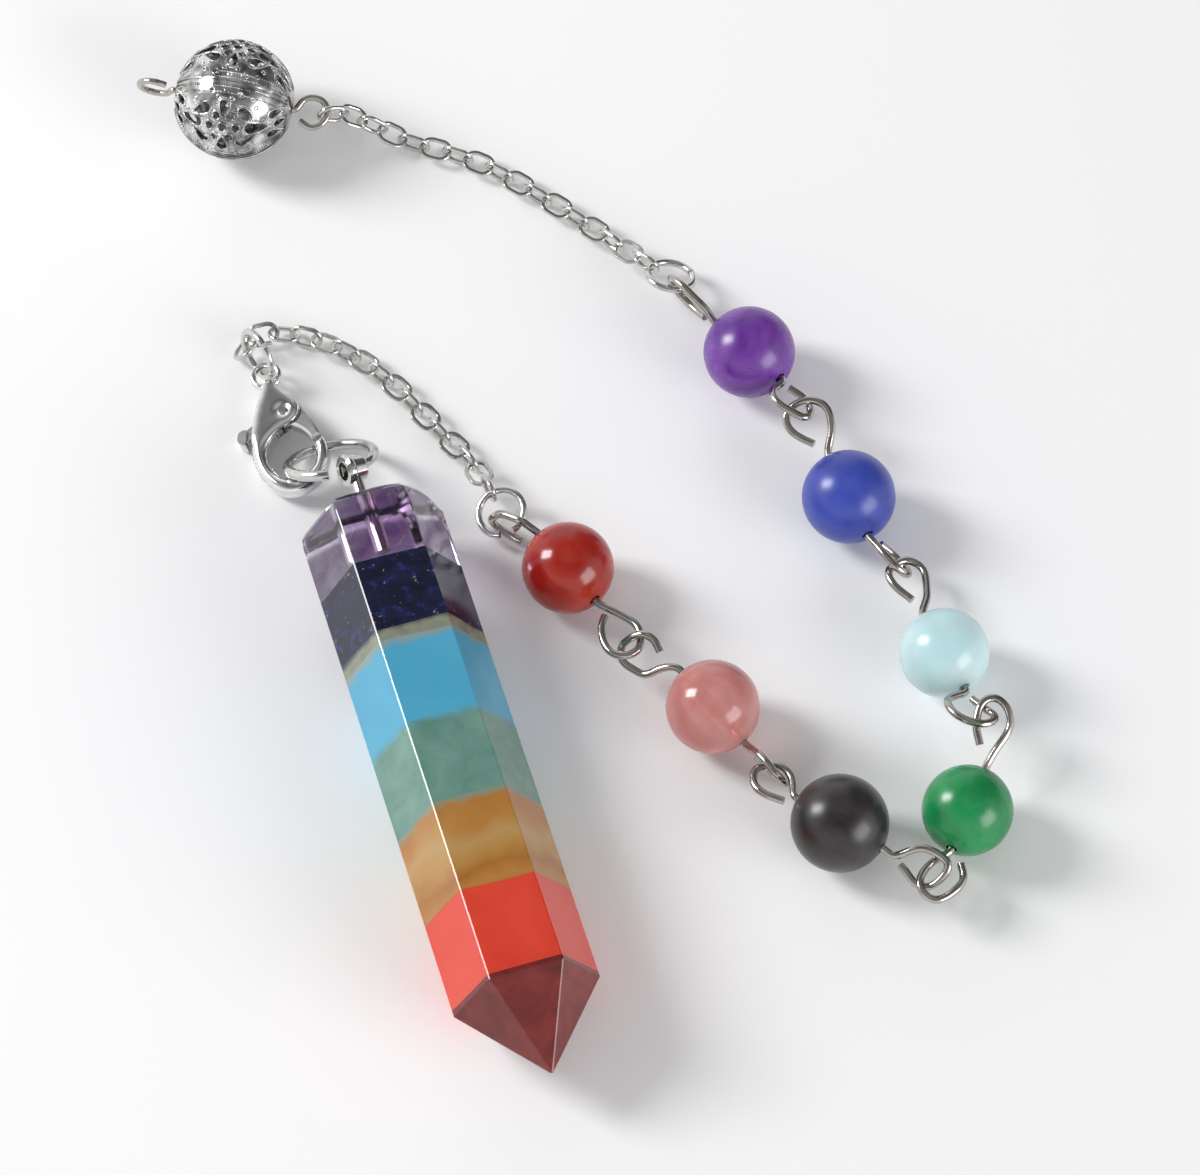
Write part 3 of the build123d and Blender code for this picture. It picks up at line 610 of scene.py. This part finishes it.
# Lines as a mesh of edges, grown into a solid by one of the trees
def growPiece(name, linesToFollow, tree, values):
    points, edges = [], []
    for line, closed in linesToFollow:
        first = len(points)
        points.extend(line)
        edges.extend((first + k, first + k + 1) for k in range(len(line) - 1))
        if closed:
            edges.append((first + len(line) - 1, first))
    mesh = bpy.data.meshes.new(name + "_lines")
    mesh.from_pydata(points, edges, [])
    piece = addPiece(name, mesh)
    modifier = piece.modifiers.new("grow", "NODES")
    modifier.node_group = tree
    for item in tree.interface.items_tree:
        if item.item_type == "SOCKET" and item.in_out == "INPUT" and item.name in values:
            modifier[item.identifier] = values[item.name]
    depsgraph = bpy.context.evaluated_depsgraph_get()
    solid = bpy.data.meshes.new_from_object(piece.evaluated_get(depsgraph))
    piece.modifiers.clear()
    piece.data = solid
    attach(piece, "root")
    return piece


# The pierced ball: rims round its openings, grains round the drops and beside the seams
ball = {
    "centre": Vector((-32.56, 46.28, 5.45)) * mm + layoutShift, "radius": 5.30 * mm, "yaw": -10.7, "roll": 15.0,
    "rimWire": 0.085 * mm, "grain": 0.10 * mm, "pitch": 0.24 * mm, "seamRows": (0.42 * mm, 0.95 * mm), "seamReach": 64,
}
# toward the pole, round the ball, size, length of a drop or 0 for a round opening, turn
ballOpenings = (
    (0.0, 0.0, 0.80, 0, 0), (1.20, 0.0, 0.72, 0, 0), (-1.20, 0.0, 0.72, 0, 0),
    (0.60, 1.05, 0.72, 0, 0), (-0.60, 1.05, 0.72, 0, 0), (0.60, -1.05, 0.72, 0, 0), (-0.60, -1.05, 0.72, 0, 0),
    (2.55, 0.0, 1.15, 2.3, 0), (-2.55, 0.0, 1.15, 2.3, 180),
    (1.75, 1.55, 1.00, 2.0, 30), (1.75, -1.55, 1.00, 2.0, -30),
    (-1.75, 1.55, 1.00, 2.0, 150), (-1.75, -1.55, 1.00, 2.0, -150),
    (0.0, 2.10, 0.95, 1.6, 90), (0.0, -2.10, 0.95, 1.6, -90),
    (5.20, 0.0, 0.60, 1.5, 0), (-5.20, 0.0, 0.60, 1.5, 180),
    (4.55, 1.45, 0.70, 1.9, -18), (4.55, -1.45, 0.70, 1.9, 18),
    (-4.55, 1.45, 0.70, 1.9, -162), (-4.55, -1.45, 0.70, 1.9, 162),
    (1.35, 3.25, 0.45, 0, 0), (1.35, -3.25, 0.45, 0, 0), (-1.35, 3.25, 0.45, 0, 0), (-1.35, -3.25, 0.45, 0, 0),
)


# small closed rings between the openings
ballStuds = ((2.9, 2.15), (2.9, -2.15), (-2.9, 2.15), (-2.9, -2.15), (0.0, 3.35), (0.0, -3.35),
             (3.7, 0.75), (3.7, -0.75), (-3.7, 0.75), (-3.7, -0.75), (2.45, 3.0), (2.45, -3.0),
             (-2.45, 3.0), (-2.45, -3.0), (0.62, 2.75), (-0.62, 2.75), (0.62, -2.75), (-0.62, -2.75))


def openingOutline(size, length, margin):
    radius = size / 2 + margin
    if not length:
        return [(radius * cos(2 * pi * k / 20), radius * sin(2 * pi * k / 20)) for k in range(20)]
    tip = length - size / 2 + margin
    outline = [(-radius * cos(a), -radius * sin(a)) for a in [pi * k / 10 - pi / 2 for k in range(11)]]
    flank = [(tip * t, radius * (1 - t) * (1 + 0.75 * t)) for t in (0.2, 0.4, 0.6, 0.8, 0.92)]
    return outline + [(x, -y) for x, y in flank] + [(tip, 0.0)] + flank[::-1]


ballFrame = (Matrix.Translation(ball["centre"]) @ Matrix.Rotation(radians(ball["yaw"]), 4, "Z")
             @ Matrix.Rotation(radians(ball["roll"]), 4, "X"))
perMm = mm / ball["radius"]


def onBall(turned, outline, lift=0.0):
    height = ball["radius"] + lift
    return [turned @ Vector((x * mm, y * mm, sqrt(height ** 2 - (x * mm) ** 2 - (y * mm) ** 2)))
            for x, y in outline]


rims, grains = [], []
for quarter in range(4):
    for towardPole, roundBall, size, length, turn in ballOpenings:
        turned = (ballFrame @ Matrix.Rotation(radians(45 + 90 * quarter) + roundBall * perMm, 4, "X")
                  @ Matrix.Rotation(towardPole * perMm, 4, "Y") @ Matrix.Rotation(radians(turn), 4, "Z"))
        rims.append((onBall(turned, openingOutline(size, length, 0.05)), True))
        if length:
            grains.append((onBall(turned, openingOutline(size, length, 0.17)), True))
    for towardPole, roundBall in ballStuds:
        turned = (ballFrame @ Matrix.Rotation(radians(45 + 90 * quarter) + roundBall * perMm, 4, "X")
                  @ Matrix.Rotation(towardPole * perMm, 4, "Y"))
        rims.append((onBall(turned, openingOutline(0.34, 0, 0.0)), True))
    for way, rowPlace in ((way, rowPlace) for way in (-1, 1) for rowPlace in ball["seamRows"]):
        row = ballFrame @ Matrix.Rotation(radians(90 * quarter), 4, "X")
        across = way * rowPlace
        reach = sqrt(ball["radius"] ** 2 - across ** 2)
        angles = [radians(a) for a in range(-ball["seamReach"], ball["seamReach"] + 1, 4)]
        grains.append(([row @ Vector((reach * sin(a), reach * cos(a), across)) for a in angles], False))
growPiece("ball_rims", rims, rimTree, {"Wire Radius": ball["rimWire"]})
growPiece("ball_grains", grains, grainTree, {"Grain Radius": ball["grain"], "Pitch": ball["pitch"]})
print("ball rims and grains done")

# Table top, camera and light
floorMaterial, tree, shader = newMaterial("table_top")
setShader(shader, Base_Color=colour(0.915, 0.915, 0.92), Roughness=0.55, Specular_IOR_Level=0.2)
bpy.ops.mesh.primitive_plane_add(size=3.0, location=(0, 0, -0.00002))
floor = bpy.context.object
floor.name = "table_top"
floor.data.materials.append(floorMaterial)

cameraLook = {"elevation": 62.0, "distance": 0.600, "lens": 207.9, "sensor": 36.0,
              "target": tuple(layoutShift)}
pitch = radians(cameraLook["elevation"])
camera = bpy.data.cameras.new("camera")
camera.sensor_fit = "HORIZONTAL"
camera.sensor_width = cameraLook["sensor"]
camera.lens = cameraLook["lens"]
camera.clip_start = 0.01
cameraObject = bpy.data.objects.new("camera", camera)
bpy.context.scene.collection.objects.link(cameraObject)
cameraObject.location = Vector(cameraLook["target"]) + cameraLook["distance"] * Vector((0, -cos(pitch), sin(pitch)))
cameraObject.rotation_euler = (pi / 2 - pitch, 0, 0)
bpy.context.scene.camera = cameraObject

# name, direction from the object, distance, width, height, power, tint
softLights = (
    ("left_softbox", (-0.77, 0.24, 0.59), 0.60, 0.18, 0.26, 2.7, (1.0, 1.0, 1.0)),
    ("right_softbox", (0.783, -0.549, 0.36), 0.60, 0.36, 0.30, 1.7, (1.0, 0.995, 0.99)),
)
for name, direction, distance, width, height, power, tint in softLights:
    lamp = bpy.data.lights.new(name, "AREA")
    lamp.shape = "RECTANGLE"
    lamp.size = width
    lamp.size_y = height
    lamp.energy = power
    lamp.color = tint
    lampObject = bpy.data.objects.new(name, lamp)
    way = Vector(direction).normalized()
    lampObject.location = way * distance
    lampObject.rotation_euler = way.to_track_quat("Z", "Y").to_euler()
    bpy.context.scene.collection.objects.link(lampObject)

world = bpy.data.worlds.new("studio")
bpy.context.scene.world = world
world.use_nodes = True
tree = world.node_tree
tree.nodes.clear()
output = tree.nodes.new("ShaderNodeOutputWorld")
background = tree.nodes.new("ShaderNodeBackground")
link(tree, background.outputs["Background"], output.inputs["Surface"])
skyPlace = addNode(tree, "ShaderNodeTexCoord").outputs["Generated"]
split = addNode(tree, "ShaderNodeSeparateXYZ")
link(tree, skyPlace, split.inputs["Vector"])
skyTone = rampNode(tree, [(0.0, (0.9, 0.9, 0.9)), (0.30, (1.0, 1.0, 1.0)), (0.52, (0.72, 0.72, 0.73)),
                          (0.74, (0.30, 0.30, 0.31)), (0.88, (0.13, 0.13, 0.14)), (1.0, (0.45, 0.45, 0.46))])
link(tree, split.outputs["Z"], skyTone.inputs["Fac"])
darkWay = Vector((0.67, 0.67, 0.32)).normalized()
toward = addNode(tree, "ShaderNodeVectorMath", {1: tuple(darkWay)}, operation="DOT_PRODUCT")
link(tree, skyPlace, toward.inputs[0])
darkCard = rampNode(tree, [(0.80, (1, 1, 1)), (0.93, (0.12, 0.12, 0.12))])
link(tree, toward.outputs["Value"], darkCard.inputs["Fac"])
link(tree, mixNode(tree, 1.0, skyTone.outputs["Color"], darkCard.outputs["Color"], "MULTIPLY"),
     background.inputs["Color"])
background.inputs["Strength"].default_value = 1.03
bpy.context.scene.view_settings.view_transform = "Standard"
print("camera and light done")
